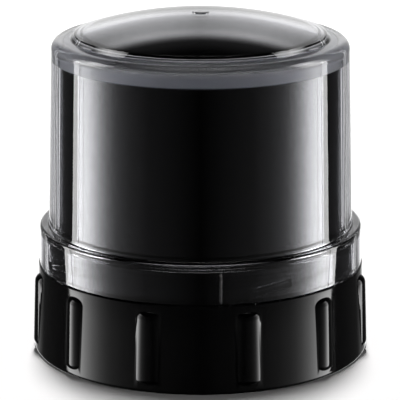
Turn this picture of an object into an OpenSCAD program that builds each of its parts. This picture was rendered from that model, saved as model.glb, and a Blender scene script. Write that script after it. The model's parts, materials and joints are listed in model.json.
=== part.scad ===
// Mini food chopper: a clear jar over an opaque inner bowl, standing on a ribbed black base.
// The blades are carried in the base, and the jar screws down on short helical lugs.
// Frame: origin at the centre of the bottom rim, +Z up along the axis, front towards -Y.
// All sizes are in millimetres.

/* [Collar] */
// Height of the ribbed collar
collar_h = 27.3; // [25:0.1:36]
// Radius of the collar just under its top edge, which all other radii of the walls follow
collar_top_r = 51; // [47:0.1:57]
// How much wider the collar is at its foot than at its top
foot_flare = 1.9; // [0.5:0.1:3]
// Rounding of the collar's outer edge at its foot
collar_edge = 1.2; // [0.4:0.1:1.6]
// Rounding of the collar's outer edge at its top
collar_top_edge = 0.4; // [0.2:0.1:1.2]
// Thickness of the collar's wall at its top
collar_wall = 1.8; // [1.6:0.1:2.1]
// Thickness of the lip that closes the collar's top
lip_t = 2.5; // [2:0.1:3.5]
// Number of grip ribs on each quarter of the collar
quarter_ribs = 3; // [1:1:3]
// Angle between the two middle ribs at the front, and at the back
rib_gap = 33.7; // [26:0.1:36]
// Angle from one rib to the next in a quarter
rib_pitch = 30.5; // [24:0.1:31]
// Radius of a rib's round section
rib_r = 5.6; // [4.8:0.1:6.4]
// How far a rib's crest stands out of the collar's top edge
rib_proud = 1.7; // [1.4:0.1:2.4]
// Rounding of a rib's ends
rib_end_r = 2.5; // [1:0.1:3.2]
// Height of a rib's lower end
rib_low_z = 1.9; // [1.5:0.1:6]
// Distance from a rib's upper end to the collar's top
rib_top_gap = 1.9; // [1.2:0.1:5]

/* [Jar] */
// Height of the jar from its skirt's edge to the ring round the dome
jar_h = 70.7; // [66:0.1:95]
// How far the jar's wall stands in from the skirt's edge
jar_set_in = 3.05; // [2.8:0.05:3.4]
// How much narrower the jar is at its top than at its skirt
jar_taper = 1.5; // [1:0.05:2]
// Thickness of the clear wall at the top of the jar
jar_wall = 2.65; // [2.2:0.05:3]
// How much wider the jar is inside at the bottom than at the top
jar_draft = 0.7; // [0.3:0.05:0.9]
// Rounding of the top shoulder
shoulder_r = 4.1; // [3.4:0.1:4.6]
// Width of the shoulder and the ring round the dome
ring_w = 7.25; // [6.6:0.05:9]
// Height of the step from the ring up to the dome's edge
dome_step = 1.8; // [1:0.1:2.4]
// Rise of the dome from its edge to its middle
dome_rise = 6; // [4:0.1:7]
// Radius of the moulding nub in the middle of the dome
nub_r = 2.6; // [1.5:0.1:4]
// Height of the moulding nub
nub_h = 0.3; // [0.2:0.05:0.8]

/* [Skirt] */
// Height of the jar's skirt
skirt_h = 12.3; // [11.9:0.1:14]
// How far the skirt stands in from the collar's top
skirt_set_in = 0.3; // [0.1:0.1:0.6]
// Thickness of the skirt's wall
skirt_wall = 2.95; // [2.6:0.05:3.1]
// Thickness of the shoulder that joins the skirt to the jar
skirt_roof_t = 2.7; // [2.2:0.1:3]
// Gap between the skirt's edge and the collar
seam_gap = 0.3; // [0.2:0.05:0.6]
// Number of lugs inside the skirt
lug_count = 4; // [3:1:4]
// Angle that one lug spans
lug_span = 14; // [10:1:16]
// Room left above a lug
lug_head = 1.4; // [1.3:0.1:2]
// How far a lug stands in from the skirt
lug_depth = 1.85; // [1.5:0.05:2]
// Height of a lug's underside above the skirt's edge
lug_rise = 2; // [1.6:0.1:2.4]
// Rise of the jar in one full turn
jar_lead = 45; // [36:1:50]

/* [Inner bowl] */
// Thickness of the inner bowl's wall
bowl_wall = 1.6; // [1.2:0.1:2.2]
// Gap between the inner bowl's raised middle and the jar's step
bowl_step_gap = 1.2; // [0.9:0.1:3]
// Height of the inner bowl's outer edge below the ring round the dome
bowl_edge_drop = 7.3; // [6.6:0.1:9]
// Thickness of the inner bowl's flange
bowl_flange_t = 1.8; // [1.4:0.1:2]
// Thickness of the sealing ring under the flange
seal_t = 1.7; // [1.4:0.1:2]
// Width of the sealing ring
seal_w = 1.5; // [1:0.1:1.8]

/* [Blade carrier] */
// Thickness of the neck's wall
neck_wall = 3.7; // [3.4:0.1:4.2]
// Depth of the bowl's floor below the neck's top
dish_depth = 6.1; // [5.4:0.1:6.6]
// Thickness of the bowl's floor
floor_t = 2.5; // [2:0.1:3.2]
// Radius of the tower's foot on the floor
tower_r = 14; // [13.2:0.1:16]
// Height of the tower that carries the bearings
tower_h = 5.5; // [4.5:0.1:6]

/* [Underside] */
// Width of the groove round the motor socket's wall
socket_groove = 2.2; // [1.6:0.1:3]
// Height of the socket's edge above the surface that the chopper stands on
socket_lift = 0.8; // [0.5:0.1:1.5]
// Thickness of the cover's wall and plate
cover_t = 2.2; // [1.8:0.1:2.4]
// Gap round the drive coupling in the cover's opening
coupling_gap = 3; // [2:0.1:4]
// Distance of the cover's screws from the socket's wall
screw_inset = 8.5; // [7:0.1:12]

/* [Blades and drive] */
// Gap between the lower blade's tips and the neck
blade_tip_gap = 6.6; // [3:0.1:12]
// How much shorter the upper blade's arms are than the lower blade's
up_blade_less = 6; // [2:0.5:10]
// Thickness of the blades
blade_t = 1.5; // [1.2:0.1:1.8]
// Drop of the lower blade's wings below its hub
low_blade_drop = 10; // [8:0.1:11]
// Rise of the upper blade's wings above its hub
up_blade_rise = 8.5; // [5:0.1:12]
// Length of the spacer between the blades
spacer_h = 5; // [3:0.1:8]
// Radius of the drive shaft
shaft_r = 4; // [3.6:0.05:4.4]
// Outer radius of the two bearings
bearing_r = 6; // [5.6:0.05:6.4]
// Length of a bearing
bearing_h = 6; // [4.5:0.1:6.4]
// Outer radius of the drive coupling
coupling_r = 11; // [10:0.1:12]
// Height of the drive coupling, which also sets how deep the motor socket is
coupling_h = 8.7; // [8:0.1:9.6]
// Number of teeth inside the drive coupling
tooth_count = 6; // [4:1:8]

/* [Hidden] */
$fn = 96;

// Clearances
run_gap = 0.03;
slip_gap = 0.1;
press_gap = 0.01;
seat_gap = 0.1;
part_gap = 0.3;
neck_gap = 0.45;
lug_gap = 0.35;
cut = 1;

// Collar
foot_r = collar_top_r + foot_flare;
collar_bore_r = collar_top_r - collar_wall;
lip_z = collar_h - lip_t;
rib_axis_r = collar_top_r + rib_proud - rib_r;
rib_h = collar_h - rib_top_gap - rib_low_z;
rib_lean = 2.2;
ledge_t = 1.5;
ledge_w = 1.6;
rib_turn = -0.8;

// Jar, measured upwards from the skirt's edge
skirt_r = collar_top_r - skirt_set_in;
jar_r = skirt_r - jar_set_in;
jar_top_r = jar_r - jar_taper;
dome_r = jar_top_r - ring_w;
skirt_z = collar_h + seam_gap;
skirt_top_z = skirt_z + skirt_h;
roof_z = skirt_top_z - skirt_roof_t;
skirt_in_r = skirt_r - skirt_wall;
skirt_draft = 0.25;
skirt_edge_r = 1.3;
root_r = 1;
ring_z = skirt_z + jar_h;
dome_z = ring_z + dome_step;
apex_z = dome_z + dome_rise;
jar_in_top_r = jar_top_r - jar_wall;
jar_in_r = jar_in_top_r + jar_draft;
shoulder_z = ring_z - shoulder_r;
inner_corner_r = shoulder_r - jar_wall + 0.25;
ceiling_z = ring_z - jar_wall;
dome_in_r = dome_r - 2;
ceiling_r = dome_in_r + 1.6;
dome_in_z = dome_z - jar_wall + 0.2;
dome_in_rise = dome_rise - 0.2;
index_w = 0.6;
index_h = 0.3;
index_turn = -83.2;

// Inner bowl, flange and seal
bowl_out_r = jar_in_r - part_gap;
bowl_out_top_r = jar_in_top_r - part_gap;
bowl_edge_z = ring_z - bowl_edge_drop;
bowl_corner_r = 1;
bowl_step_r = ceiling_r - bowl_step_gap;
bowl_dome_r = bowl_step_r - 0.9;
bowl_dome_rise = dome_in_rise - 0.1;
bowl_dome_z = dome_in_z - 0.7;
bowl_shoulder_z = ceiling_z - 1.5 * part_gap;
flange_top_z = roof_z - seat_gap;
flange_z = flange_top_z - bowl_flange_t;
neck_top_z = flange_z - seal_t;

// Neck of the blade carrier
neck_r = skirt_in_r - neck_gap;
neck_in_r = neck_r - neck_wall;
spigot_r = neck_r - 2.2;
lip_hole_r = spigot_r + part_gap;
spigot_drop = 3.5;
spigot_wall = 2.4;
floor_z = neck_top_z - dish_depth;
floor_low_z = floor_z - floor_t;
tower_top_z = floor_z + tower_h;
tower_top_r = tower_r - 1.6;
seal_in_r = neck_in_r + 0.25;
seal_out_r = seal_in_r + seal_w;
ring_in_r = seal_out_r + 0.2;
ring_out_r = skirt_in_r - slip_gap;

// Helical lugs and their tracks
lug_in_r = skirt_in_r - lug_depth;
lug_z = skirt_z + lug_rise;
lug_h = neck_top_z - lug_z - lug_head;
lug_turn = -63;
track_floor_r = lug_in_r - part_gap;
rise_per_degree = jar_lead / 360;
lug_tilt = atan(jar_lead / (2 * PI * skirt_in_r));
track_gap_deg = 1.4;
exit_turn = (neck_top_z - lug_z + lug_gap) / rise_per_degree;

// Bearing housing
housing_r = bearing_r + 1.8;
gasket_t = 1.2;
hub_drop = 2;
hub_r = housing_r + 4.2;
nut_t = 3.2;
nut_flats = 2 * (housing_r + 2.7);
thread_tail = 0.6;
housing_flange_r = tower_top_r - 0.9;
housing_flange_t = 2;
hub_low_z = floor_low_z - hub_drop;
nut_z = hub_low_z - nut_t;
housing_low_z = nut_z - thread_tail;
housing_flange_z = tower_top_z + gasket_t;
seal_pocket_r = bearing_r + 1;
housing_neck_r = seal_pocket_r + 1.6;
seal_pocket_z = housing_flange_z + housing_flange_t + 0.3;
lip_seal_t = 2.6;
retainer_t = 0.8;
pocket_rim = 0.7;
housing_top_z = seal_pocket_z + lip_seal_t + retainer_t + pocket_rim;
middle_bore_r = shaft_r + 0.6;

// Shaft and what is stacked on it
low_blade_r = neck_in_r - blade_tip_gap;
up_blade_r = low_blade_r - up_blade_less;
washer_t = 0.9;
clip_t = 0.8;
clip_groove = 0.6;
clip_r = shaft_r + 2.2;
washer_z = housing_low_z - seat_gap - washer_t;
clip_z = washer_z - seat_gap - clip_t;
thrust_z = housing_top_z + seat_gap;
seat_z = thrust_z + washer_t + seat_gap / 2;
seat_r = shaft_r - 1;
flat_half = seat_r - 0.7;
up_blade_z = seat_z + blade_t + spacer_h;
lock_washer_t = 1;
nut_seat_z = up_blade_z + blade_t + lock_washer_t;
blade_nut_flats = 2 * (seat_r + 2.5);
blade_nut_h = 5;
thread_top_z = nut_seat_z + blade_nut_h - 0.4;
blade_hub_r = 9;
wing_r = 17;
lead_arc_r = 30;
lead_arc_at = [17, -24];
back_arc_at = [24, -34];
bevel_w = 2.4;
bevel_from = 20;

// Coupling under the shaft
coupling_top_z = clip_z - 0.4;
coupling_z = coupling_top_z - coupling_h;
cover_low_z = coupling_z - 0.4;
cover_top_z = cover_low_z + cover_t;
socket_depth = cover_low_z - socket_lift;
coupling_pocket = 4.4;
coupling_pocket_r = coupling_r - 2.4;
tooth_w = 2.2;
tooth_l = 2;
pin_r = 0.9;
pin_z = (coupling_z + coupling_pocket + coupling_top_z) / 2;
coupling_hub_r = shaft_r + 3;
shaft_low_z = coupling_z + coupling_pocket + 0.4;

// Cover and screws
cover_r = collar_bore_r - part_gap;
socket_r = cover_r - cover_t - socket_groove;
cover_hole_r = coupling_r + coupling_gap;
screw_circle_r = socket_r - screw_inset;
ledge_z = cover_top_z + slip_gap;
boss_r = 4.2;
cover_boss_h = 2;
screw_count = 4;
screw_turn = 45;
screw_r = 1.45;
screw_head_r = 3;
screw_head_t = 1.8;
head_sink = 0.8;
boss_low_z = cover_top_z + cover_boss_h + seat_gap;
pilot_top_z = floor_low_z - 0.9;
screw_tip_gap = 1;
key_count = 3;
key_turn = 30;
key_entry = 8;
key_run = 10;
key_depth = 1.2;
key_h = 3;
key_lift = 1.6;

black_plastic = "#141416";
clear_plastic = [0.78, 0.82, 0.9, 0.35];
steel = "#c9ccd0";
bronze = "#a9793f";
rubber_dark = "#2b2c2e";
silicone = "#d9dde2";
nylon = "#ece9e0";

// A ring with a rectangular section
module ring(r_out, r_in, z, h) {
    translate([0, 0, z]) difference() {
        cylinder(r = r_out, h = h);
        translate([0, 0, -cut]) cylinder(r = r_in, h = h + 2 * cut);
    }
}

// A round bar through the collar's features, for cutting
module bore(r, z_from, z_to) {
    translate([0, 0, z_from]) cylinder(r = r, h = z_to - z_from);
}

// A sector of a ring, centred on the x axis
module ring_sector(r_out, r_in, h, span) {
    rotate([0, 0, -span / 2]) rotate_extrude(angle = span)
        translate([r_in, 0]) square([r_out - r_in, h]);
}

// Points on a spherical cap's outline, from its edge at r to the axis
function cap(r, z, rise, steps = 12) =
    let (ball = (r * r + rise * rise) / (2 * rise), reach = asin(r / ball))
    [for (i = [0 : steps]) let (a = reach * (1 - i / steps))
        [i == steps ? 0 : ball * sin(a), z + rise - ball * (1 - cos(a))]];

// Points on a quarter-round or less, from angle a0 to angle a1
function arc(x, y, r, a0, a1, steps = 6) =
    [for (i = [0 : steps]) let (a = a0 + (a1 - a0) * i / steps) [x + r * cos(a), y + r * sin(a)]];

// Black ribbed collar that the whole chopper stands on
module grip_collar() {
    outline = concat(
        [[collar_bore_r, 0]],
        arc(foot_r - collar_edge, collar_edge, collar_edge, -90, 0),
        arc(collar_top_r - collar_top_edge, collar_h - collar_top_edge, collar_top_edge, 0, 90),
        [[lip_hole_r, collar_h], [lip_hole_r, lip_z], [collar_bore_r, lip_z]]);
    color(black_plastic) union() {
        rotate_extrude() polygon(outline);
        ring(collar_bore_r + cut / 2, collar_bore_r - ledge_w, ledge_z, ledge_t);
        for (face = [-90, 90], side = [-1, 1], i = [0 : quarter_ribs - 1])
            rotate([0, 0, rib_turn + face + side * (rib_gap / 2 + i * rib_pitch)]) grip_rib();
    }
}

// One upright half-round rib with rounded ends, trimmed inside the collar's wall
module grip_rib() {
    intersection() {
        translate([rib_axis_r, 0, rib_low_z + rib_h]) rotate([0, -rib_lean, 0])
            translate([0, 0, -rib_h]) rotate_extrude() union() {
                square([rib_r - rib_end_r, rib_h]);
                translate([0, rib_end_r]) square([rib_r, rib_h - 2 * rib_end_r]);
                for (y = [rib_end_r, rib_h - rib_end_r]) translate([rib_r - rib_end_r, y])
                    circle(r = rib_end_r);
            }
        translate([collar_bore_r + cut / 2, -rib_r, 0]) cube([2 * rib_r, 2 * rib_r, collar_h]);
    }
}

// Black moulding that closes the bowl below, with its neck, floor and bearing tower
module blade_carrier() {
    color(black_plastic) difference() {
        union() {
            carrier_body();
            for (i = [0 : screw_count - 1]) rotate([0, 0, screw_turn + i * 360 / screw_count])
                translate([screw_circle_r, 0, 0]) bore(boss_r, boss_low_z, floor_low_z + cut / 2);
            for (i = [0 : 2 * screw_count - 1]) rotate([0, 0, (i + 0.5) * 180 / screw_count])
                carrier_rib();
        }
        bore(housing_r + slip_gap, hub_low_z - cut, tower_top_z + cut);
        for (i = [0 : screw_count - 1]) rotate([0, 0, screw_turn + i * 360 / screw_count])
            translate([screw_circle_r, 0, 0])
                bore(screw_r + slip_gap / 2, boss_low_z - cut, pilot_top_z);
        for (i = [0 : lug_count - 1]) rotate([0, 0, lug_turn + i * 360 / lug_count]) lug_track();
    }
}

// Turned outline of the carrier: spigot, neck, dished floor and tower
module carrier_body() {
    dish_r = 2.5;
    rotate_extrude() polygon(concat(
        [[housing_r - cut, hub_low_z], [hub_r, hub_low_z], [hub_r, floor_low_z],
            [spigot_r - spigot_wall, floor_low_z],
            [spigot_r - spigot_wall, collar_h - spigot_drop - lip_t],
            [spigot_r, collar_h - spigot_drop - lip_t], [spigot_r, collar_h + seat_gap],
            [neck_r, collar_h + seat_gap], [neck_r, neck_top_z], [neck_in_r, neck_top_z]],
        arc(neck_in_r - dish_r, floor_z + dish_r, dish_r, 0, -90),
        arc(tower_r + 1, floor_z + 1, 1, -90, -180, 3),
        [[tower_top_r, tower_top_z], [housing_r - cut, tower_top_z]]));
}

// Stiffening rib under the floor
module carrier_rib() {
    rib_t = 1.6;
    translate([hub_r - cut, -rib_t / 2, floor_low_z - hub_drop])
        cube([spigot_r - spigot_wall - hub_r + 1.5 * cut, rib_t, hub_drop + cut / 2]);
}

// Sloping track in the neck that one lug climbs, from its locked place to the neck's edge
module lug_track() {
    start = -lug_span / 2 - track_gap_deg;
    end = exit_turn + lug_span / 2 + track_gap_deg;
    middle = (start + end) / 2;
    height = lug_h + 2 * lug_gap;
    rotate([0, 0, middle])
        translate([0, 0, lug_z + lug_h / 2 + middle * rise_per_degree]) rotate([lug_tilt, 0, 0])
            translate([0, 0, -height / 2])
                ring_sector(neck_r + cut, track_floor_r, height, end - start);
}

// Underside moulding with the socket for the motor unit
module base_cover() {
    tube_r = socket_r + cover_t;
    color(black_plastic) difference() {
        union() {
            ring(tube_r, socket_r, socket_lift, socket_depth + cut / 2);
            ring(cover_r, cover_hole_r, cover_low_z, cover_t);
            ring(cover_hole_r + cover_t, cover_hole_r, cover_low_z, cover_t + cover_boss_h / 2);
            for (i = [0 : screw_count - 1]) rotate([0, 0, screw_turn + i * 360 / screw_count])
                translate([screw_circle_r, 0, 0])
                    bore(boss_r, cover_low_z, cover_top_z + cover_boss_h);
        }
        for (i = [0 : screw_count - 1]) rotate([0, 0, screw_turn + i * 360 / screw_count])
            translate([screw_circle_r, 0, 0]) {
                bore(screw_r + slip_gap, cover_low_z - cut, boss_low_z + cut);
                bore(screw_head_r + slip_gap, cover_low_z - cut,
                    cover_low_z + head_sink + screw_head_t);
            }
        for (i = [0 : key_count - 1]) rotate([0, 0, key_turn + i * 360 / key_count]) key_slot();
    }
}

// Keyway in the socket's wall for one lug of the motor unit: an entry and a short run
module key_slot() {
    slot_r = socket_r + key_depth;
    translate([0, 0, socket_lift - cut])
        ring_sector(slot_r, socket_r - cut, key_lift + key_h + cut, key_entry);
    rotate([0, 0, (key_entry + key_run) / 2 - cut / 2]) translate([0, 0, socket_lift + key_lift])
        ring_sector(slot_r, socket_r - cut, key_h, key_run + cut);
}

// Screws that hold the cover to the carrier
module cover_screws() {
    head_z = cover_low_z + head_sink;
    recess = 0.9;
    color(steel) for (i = [0 : screw_count - 1])
        rotate([0, 0, screw_turn + i * 360 / screw_count]) translate([screw_circle_r, 0, 0])
            difference() {
                union() {
                    bore(screw_head_r, head_z, head_z + screw_head_t);
                    bore(screw_r, head_z + screw_head_t - cut / 2, pilot_top_z - screw_tip_gap);
                }
                for (a = [0, 90]) rotate([0, 0, a])
                    translate([-screw_head_r * 0.6, -0.4, head_z - cut])
                        cube([screw_head_r * 1.2, 0.8, cut + recess]);
            }
}

// Flanged metal housing for the two bearings
module bearing_housing() {
    color(steel) difference() {
        union() {
            bore(housing_r, housing_low_z, housing_flange_z + cut / 2);
            bore(housing_flange_r, housing_flange_z, housing_flange_z + housing_flange_t);
            bore(housing_neck_r, housing_flange_z, housing_top_z);
        }
        bore(bearing_r, housing_low_z - cut, housing_low_z + bearing_h);
        bore(middle_bore_r, housing_low_z, housing_top_z);
        bore(bearing_r, seal_pocket_z - bearing_h, seal_pocket_z + cut);
        bore(seal_pocket_r, seal_pocket_z, housing_top_z + cut);
    }
}

// Soft washer between the housing's flange and the tower
module housing_gasket() {
    color(rubber_dark)
        ring(housing_flange_r - slip_gap, housing_r + slip_gap, tower_top_z, gasket_t);
}

// Hexagonal nut that draws the housing down
module housing_nut() {
    color(steel) translate([0, 0, nut_z]) difference() {
        cylinder(r = nut_flats / 2 / cos(30), h = nut_t, $fn = 6);
        translate([0, 0, -cut]) cylinder(r = housing_r + press_gap, h = nut_t + 2 * cut);
    }
}

// Plain bearing with a running fit on the shaft
module plain_bearing(z) {
    color(bronze) ring(bearing_r - press_gap, shaft_r + run_gap, z, bearing_h);
}

module lower_bearing() {
    plain_bearing(housing_low_z);
}

module upper_bearing() {
    plain_bearing(seal_pocket_z - bearing_h);
}

// Rubber lip seal above the upper bearing
module shaft_seal() {
    lip_w = 0.9;
    color(rubber_dark) translate([0, 0, seal_pocket_z]) rotate_extrude() polygon([
        [shaft_r + run_gap, 0.4], [seal_pocket_r - press_gap, 0],
        [seal_pocket_r - press_gap, lip_seal_t], [shaft_r + 2 * lip_w, lip_seal_t],
        [shaft_r + 2 * lip_w, lip_seal_t * 0.45], [shaft_r + lip_w, lip_seal_t * 0.45],
        [shaft_r + lip_w * 0.6, lip_seal_t * 0.9], [shaft_r + run_gap, lip_seal_t * 0.9]]);
}

// Thin steel ring that keeps the lip seal in its pocket
module seal_retainer() {
    color(steel) ring(seal_pocket_r - press_gap, shaft_r + 0.5,
        seal_pocket_z + lip_seal_t, retainer_t);
}

// Steel drive shaft with a flatted seat for the blades and a groove for the retaining ring
module drive_shaft() {
    chamfer = 0.5;
    color(steel) difference() {
        union() {
            rotate_extrude() polygon([[0, shaft_low_z], [shaft_r - chamfer, shaft_low_z],
                [shaft_r, shaft_low_z + chamfer], [shaft_r, clip_z - seat_gap / 2],
                [shaft_r - clip_groove, clip_z - seat_gap / 2],
                [shaft_r - clip_groove, clip_z + clip_t + seat_gap / 2],
                [shaft_r, clip_z + clip_t + seat_gap / 2], [shaft_r, seat_z], [0, seat_z]]);
            intersection() {
                bore(seat_r, seat_z - cut / 2, up_blade_z + blade_t);
                translate([-seat_r, -flat_half, seat_z - cut])
                    cube([2 * seat_r, 2 * flat_half, up_blade_z + blade_t - seat_z + 2 * cut]);
            }
            bore(flat_half, up_blade_z, thread_top_z);
        }
        translate([0, 0, pin_z]) rotate([90, 0, 0])
            cylinder(r = pin_r + press_gap, h = 4 * shaft_r, center = true, $fn = 32);
    }
}

// Spring-steel retaining ring in the shaft's groove, open on one side
module retaining_ring() {
    mouth = 50;
    color(steel) translate([0, 0, clip_z]) rotate([0, 0, 180])
        ring_sector(clip_r, shaft_r - clip_groove + press_gap, clip_t, 360 - mouth);
}

module lower_thrust_washer() {
    color(nylon) ring(bearing_r, shaft_r + slip_gap, washer_z, washer_t);
}

module upper_thrust_washer() {
    color(nylon) ring(housing_neck_r - 0.3, shaft_r + slip_gap, thrust_z, washer_t);
}

// Moulded cup with inner teeth that the motor's dog turns
module drive_coupling() {
    color(rubber_dark) difference() {
        union() {
            bore(coupling_r, coupling_z, coupling_z + coupling_pocket + 2);
            bore(coupling_hub_r, coupling_z + coupling_pocket, coupling_top_z);
        }
        difference() {
            bore(coupling_pocket_r, coupling_z - cut, coupling_z + coupling_pocket);
            for (i = [0 : tooth_count - 1]) rotate([0, 0, i * 360 / tooth_count])
                translate([coupling_pocket_r - tooth_l, -tooth_w / 2, coupling_z])
                    cube([tooth_l + cut, tooth_w, coupling_pocket]);
        }
        bore(shaft_r + press_gap, coupling_z + coupling_pocket - cut, coupling_top_z + cut);
        translate([0, 0, pin_z]) rotate([90, 0, 0])
            cylinder(r = pin_r + press_gap, h = 3 * coupling_hub_r, center = true, $fn = 32);
    }
}

// Cross pin that locks the coupling to the shaft
module coupling_pin() {
    color(steel) translate([0, 0, pin_z]) rotate([90, 0, 0])
        cylinder(r = pin_r, h = 2 * (coupling_hub_r - 0.3), center = true, $fn = 32);
}

// Hole for the flatted seat, with a slip fit
module seat_hole(z, h) {
    intersection() {
        bore(seat_r + slip_gap / 2, z - cut, z + h + cut);
        translate([-2 * seat_r, -flat_half - slip_gap / 2, z - cut])
            cube([4 * seat_r, 2 * flat_half + slip_gap, h + 2 * cut]);
    }
}

// Plan of a two-armed blade: curved arms on a round hub
module blade_plan(sweep_r) {
    circle(r = blade_hub_r);
    for (side = [0, 180]) rotate([0, 0, side]) intersection() {
        circle(r = sweep_r);
        difference() {
            translate(lead_arc_at) circle(r = lead_arc_r);
            translate(back_arc_at) circle(r = lead_arc_r);
        }
        translate([0, -sweep_r]) square(2 * sweep_r);
    }
}

// Ground edge along the outer part of each arm's leading side
module edge_grind(z, side_z) {
    for (side = [0, 180]) rotate([0, 0, side]) intersection() {
        translate([lead_arc_at[0], lead_arc_at[1], z]) rotate_extrude() polygon([
            [lead_arc_r - bevel_w, side_z], [lead_arc_r + cut, side_z],
            [lead_arc_r + cut, -blade_t * 1.1 * cut / bevel_w - blade_t * 0.8]]);
        translate([bevel_from, -lead_arc_r, z - 2 * blade_t])
            cube([2 * lead_arc_r, 2 * lead_arc_r, 4 * blade_t]);
    }
}

// Blade bent from sheet: its hub's underside lies at z, and its wings lie at z + lift
module bent_blade(sweep_r, z, lift) {
    bend = blade_hub_r + 1;
    top = [[-sweep_r - cut, lift], [-wing_r, lift], [-bend, 0], [bend, 0], [wing_r, lift],
        [sweep_r + cut, lift]];
    low = [for (i = [5 : -1 : 0]) [top[i][0], top[i][1] + blade_t]];
    difference() {
        intersection() {
            rotate([90, 0, 0]) linear_extrude(height = 4 * sweep_r, center = true)
                translate([0, z]) polygon(concat(top, low));
            translate([0, 0, z - sweep_r]) linear_extrude(height = 2 * sweep_r)
                blade_plan(sweep_r);
        }
        seat_hole(z - cut, blade_t + 2 * cut);
        edge_grind(z + lift + blade_t, 0.01);
    }
}

module lower_blade() {
    color(steel) bent_blade(low_blade_r, seat_z, -low_blade_drop);
}

module upper_blade() {
    color(steel) rotate([0, 0, 90]) bent_blade_turned(up_blade_r, up_blade_z, up_blade_rise);
}

// The upper blade is turned a quarter against the shaft's flats, so its hole is cut turned back
module bent_blade_turned(sweep_r, z, lift) {
    difference() {
        union() {
            bent_blade(sweep_r, z, lift);
            bore(seat_r + cut / 2, z, z + blade_t);
        }
        rotate([0, 0, -90]) seat_hole(z - cut, blade_t + 2 * cut);
    }
}

module blade_spacer() {
    color(steel) difference() {
        bore(seat_r + 2.6, seat_z + blade_t, up_blade_z);
        seat_hole(seat_z, spacer_h + 2 * blade_t);
    }
}

module blade_washer() {
    color(steel) ring(seat_r + 3, flat_half + slip_gap, up_blade_z + blade_t, lock_washer_t);
}

// Domed nut on top of the blades
module blade_nut() {
    corner_r = blade_nut_flats / 2 / cos(30);
    cap_r = blade_nut_flats / 2 - 0.4;
    color(steel) difference() {
        union() {
            translate([0, 0, nut_seat_z]) cylinder(r = corner_r, h = blade_nut_h - 1, $fn = 6);
            intersection() {
                translate([0, 0, nut_seat_z + blade_nut_h - 1.5]) sphere(r = cap_r);
                bore(cap_r, nut_seat_z + cut, nut_seat_z + 3 * blade_nut_h);
            }
        }
        bore(flat_half + press_gap, nut_seat_z - cut, thread_top_z + slip_gap);
    }
}

// Soft ring that the jar presses on the neck
module jar_seal() {
    color(silicone) ring(seal_out_r, seal_in_r, neck_top_z, seal_t);
}

// Clear jar: domed top, tapered wall and a stepped skirt with lugs inside
module jar_shell() {
    step_r = dome_r + 1.2;
    outer = concat(
        [[skirt_in_r, skirt_z], [skirt_r, skirt_z]],
        arc(skirt_r - skirt_draft - skirt_edge_r, skirt_top_z - skirt_edge_r, skirt_edge_r, 0, 90),
        arc(jar_r + root_r, skirt_top_z + root_r, root_r, -90, -180, 4),
        arc(jar_top_r - shoulder_r, shoulder_z, shoulder_r, 0, 90, 12),
        [[step_r, ring_z]],
        cap(dome_r, dome_z, dome_rise, 16));
    inner = concat(
        [for (i = [12 : -1 : 0]) cap(dome_in_r, dome_in_z, dome_in_rise)[i]],
        [[ceiling_r, ceiling_z]],
        arc(jar_in_top_r - inner_corner_r, ceiling_z - inner_corner_r, inner_corner_r, 90, 0),
        [[jar_in_r, roof_z], [skirt_in_r, roof_z]]);
    color(clear_plastic) union() {
        rotate_extrude() polygon(concat(outer, inner));
        bore(nub_r, apex_z - 0.2, apex_z + nub_h);
        for (i = [0 : lug_count - 1]) rotate([0, 0, lug_turn + i * 360 / lug_count])
            translate([0, 0, lug_z + lug_h / 2]) rotate([lug_tilt, 0, 0])
                translate([0, 0, -lug_h / 2])
                    ring_sector(skirt_in_r + cut, lug_in_r, lug_h, lug_span);
        rotate([0, 0, index_turn]) translate([skirt_r - cut, -index_w / 2, skirt_z + 0.5])
            cube([cut + index_h - skirt_draft, index_w, skirt_h - 3]);
    }
}

// Opaque bowl inside the jar, with a sloping shoulder, a domed top and a flange at its mouth
module inner_bowl() {
    step_in_r = bowl_step_r - bowl_wall;
    outer = concat(
        [[bowl_out_r - bowl_wall, flange_z], [ring_out_r, flange_z], [ring_out_r, flange_top_z],
            [bowl_out_r, flange_top_z]],
        arc(bowl_out_top_r - bowl_corner_r, bowl_edge_z - bowl_corner_r, bowl_corner_r, 0, 90),
        [[bowl_step_r + 0.8, bowl_shoulder_z], [bowl_step_r, bowl_dome_z - 0.4]],
        cap(bowl_dome_r, bowl_dome_z, bowl_dome_rise, 16));
    inner = concat(
        [for (i = [12 : -1 : 0])
            cap(step_in_r - 0.3, bowl_dome_z - bowl_wall, bowl_dome_rise)[i]],
        [[bowl_out_top_r - bowl_wall, bowl_edge_z - bowl_wall]]);
    color(black_plastic) rotate_extrude() polygon(concat(outer, inner));
}

// Ring pressed into the skirt that holds the inner bowl's flange up
module bowl_ring() {
    color(black_plastic) ring(ring_out_r, ring_in_r, neck_top_z + seat_gap, seal_t - seat_gap);
}

grip_collar();
blade_carrier();
base_cover();
cover_screws();
bearing_housing();
housing_gasket();
housing_nut();
lower_bearing();
upper_bearing();
shaft_seal();
seal_retainer();
drive_shaft();
retaining_ring();
lower_thrust_washer();
upper_thrust_washer();
drive_coupling();
coupling_pin();
lower_blade();
blade_spacer();
upper_blade();
blade_washer();
blade_nut();
jar_seal();
jar_shell();
inner_bowl();
bowl_ring();
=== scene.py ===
import json
import math

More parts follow.
